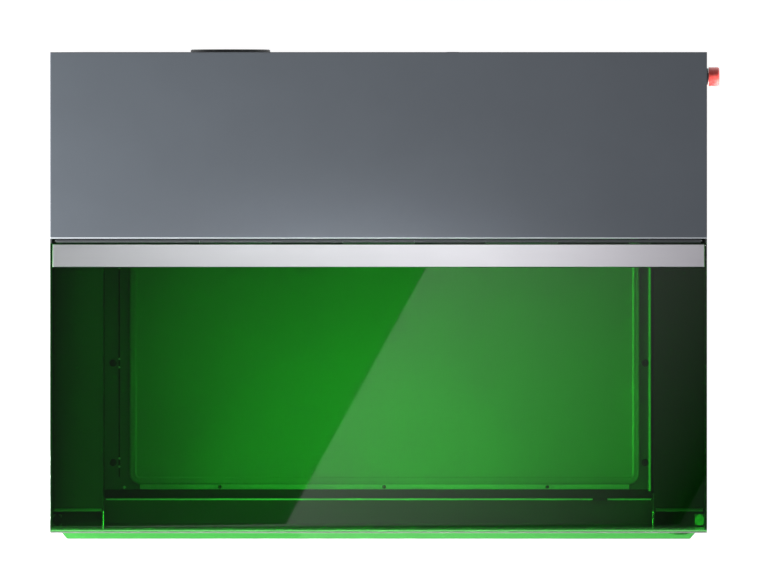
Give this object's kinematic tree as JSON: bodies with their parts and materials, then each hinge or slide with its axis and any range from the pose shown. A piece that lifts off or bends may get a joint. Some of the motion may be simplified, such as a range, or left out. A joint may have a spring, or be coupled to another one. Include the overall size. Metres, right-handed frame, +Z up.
{
  "type": "desktop laser cutter",
  "caption": "Enclosed desktop laser cutter: steel box with a hinged tinted lid, belt-driven gantry and lifting laser head over a flat bed.",
  "frame": {"origin": "centre of the footprint on the table, under the middle of the overall box", "axes": "+X to the right seen from the front, +Y to the rear, +Z up"},
  "size_m": [0.765, 0.5602, 0.183],
  "materials": {
    "grey_paint": "satin powder coat",
    "black_steel": "matt powder coat",
    "black_plastic": "fine moulded texture",
    "bright_aluminium": "brushed, clear anodised",
    "aluminium": "machined",
    "black_aluminium": "black anodised",
    "bright_steel": "ground",
    "bed_steel": "blank steel plate",
    "motor_black": "black painted stack",
    "belt_rubber": "toothed belt",
    "rubber": "moulded",
    "green_acrylic": "polished clear tinted acrylic",
    "board_green": "solder mask",
    "red_plastic": "gloss moulded",
    "light_green": "translucent moulded"
  },
  "bodies": {
    "base": {"base_pan": "black_steel", "bed_plate": "bed_steel", "deck_frame": "black_steel", "estop_base": "black_plastic", "exhaust_flange": "black_plastic", "fan_housing": "black_plastic", "flame_sensor": "black_plastic", "front_baffle": "black_steel", "front_left_foot": "rubber", "front_right_foot": "rubber", "front_skirt": "black_steel", "hinge_fixed_leaf": "black_steel", "hinge_pin": "bright_steel", "left_idler_bracket": "aluminium", "left_inner_wall": "black_steel", "left_rail_cover": "black_plastic", "left_shaft_bearing": "aluminium", "left_side_panel": "black_steel", "left_y_belt": "belt_rubber", "left_y_rail": "bright_steel", "lid_sensor": "black_plastic", "main_board": "board_green", "power_entry": "black_plastic", "rear_left_foot": "rubber", "rear_panel": "black_steel", "rear_partition": "black_steel", "rear_right_foot": "rubber", "rear_top_cover": "grey_paint", "right_idler_bracket": "aluminium", "right_inner_wall": "black_steel", "right_rail_cover": "black_plastic", "right_shaft_bearing": "aluminium", "right_side_panel": "black_steel", "right_y_belt": "belt_rubber", "right_y_rail": "bright_steel", "start_button_bezel": "aluminium", "status_light": "light_green", "y_motor": "motor_black"},
    "lid": {"lid_shield": "green_acrylic", "lid_trim_bar": "bright_aluminium", "hinge_moving_leaf": "black_steel"},
    "gantry": {"x_beam": "black_aluminium", "left_truck": "aluminium", "right_truck": "aluminium", "x_motor": "motor_black", "x_belt": "belt_rubber", "x_rail": "bright_steel"},
    "carriage": {"head_carriage": "black_aluminium"},
    "head": {"laser_module": "black_aluminium"},
    "lead_screw": {"z_screw": "bright_steel"},
    "x_pulley": {"x_drive_pulley": "bright_steel"},
    "x_idler_wheel": {"x_idler": "aluminium"},
    "y_shaft": {"y_drive_shaft": "bright_steel"},
    "left_idler_wheel": {"left_y_idler": "aluminium"},
    "right_idler_wheel": {"right_y_idler": "aluminium"},
    "fan": {"fan_impeller": "black_plastic"},
    "rocker": {"power_rocker": "black_plastic"},
    "stop_stem": {"estop_stem": "black_plastic"},
    "stop_cap": {"estop_cap": "red_plastic"},
    "start_cap": {"start_button": "black_plastic"}
  },
  "joints": [
    {"name": "lid_hinge", "type": "hinge", "parent": "base", "child": "lid", "pos_m": [-0.0075, 0.06095, 0.1803], "axis": [-1, 0, 0], "range_deg": [0, 75]},
    {"name": "gantry_slide", "type": "slide", "parent": "base", "child": "gantry", "axis": [0, -1, 0], "range_m": [0, 0.319]},
    {"name": "carriage_slide", "type": "slide", "parent": "gantry", "child": "carriage", "axis": [1, 0, 0], "range_m": [0, 0.498]},
    {"name": "head_slide", "type": "slide", "parent": "carriage", "child": "head", "axis": [0, 0, -1], "range_m": [0, 0.042]},
    {"name": "y_shaft_spin", "type": "hinge", "parent": "base", "child": "y_shaft", "pos_m": [-0.0075, 0.22895, 0.1], "axis": [1, 0, 0], "continuous": true},
    {"name": "left_idler_spin", "type": "hinge", "parent": "base", "child": "left_idler_wheel", "pos_m": [-0.3505, -0.22285, 0.1], "axis": [1, 0, 0], "continuous": true},
    {"name": "right_idler_spin", "type": "hinge", "parent": "base", "child": "right_idler_wheel", "pos_m": [0.3355, -0.22285, 0.1], "axis": [1, 0, 0], "continuous": true},
    {"name": "x_pulley_spin", "type": "hinge", "parent": "gantry", "child": "x_pulley", "pos_m": [-0.2935, 0.17815, 0.1526], "axis": [0, 0, 1], "continuous": true},
    {"name": "x_idler_spin", "type": "hinge", "parent": "gantry", "child": "x_idler_wheel", "pos_m": [0.2825, 0.17815, 0.1526], "axis": [0, 0, 1], "continuous": true},
    {"name": "lead_screw_spin", "type": "hinge", "parent": "carriage", "child": "lead_screw", "pos_m": [-0.2065, 0.13215, 0.086], "axis": [0, 0, 1], "continuous": true},
    {"name": "fan_spin", "type": "hinge", "parent": "base", "child": "fan", "pos_m": [-0.177, 0.26015, 0.10275], "axis": [0, 1, 0], "continuous": true},
    {"name": "rocker_tilt", "type": "hinge", "parent": "base", "child": "rocker", "pos_m": [0.1175, 0.26815, 0.06], "axis": [-1, 0, 0], "range_deg": [0, 16]},
    {"name": "stop_press", "type": "slide", "parent": "base", "child": "stop_stem", "axis": [-1, 0, 0], "range_m": [0, 0.002], "stiffness_N_per_m": 1500},
    {"name": "stop_twist", "type": "hinge", "parent": "stop_stem", "child": "stop_cap", "pos_m": [0.3675, 0.24915, 0.12], "axis": [1, 0, 0], "range_deg": [0, 45], "stiffness_Nm_per_rad": 0.02},
    {"name": "start_press", "type": "slide", "parent": "base", "child": "start_cap", "axis": [0, 1, 0], "range_m": [0, 0.0015], "stiffness_N_per_m": 800}
  ],
  "couplings": [
    {"joint": "y_shaft_spin", "follows": "gantry_slide", "rad_per_m": 157.08},
    {"joint": "left_idler_spin", "follows": "gantry_slide", "rad_per_m": 157.08},
    {"joint": "right_idler_spin", "follows": "gantry_slide", "rad_per_m": 157.08},
    {"joint": "x_pulley_spin", "follows": "carriage_slide", "rad_per_m": 157.08},
    {"joint": "x_idler_spin", "follows": "carriage_slide", "rad_per_m": 157.08},
    {"joint": "lead_screw_spin", "follows": "head_slide", "rad_per_m": 785.4}
  ]
}
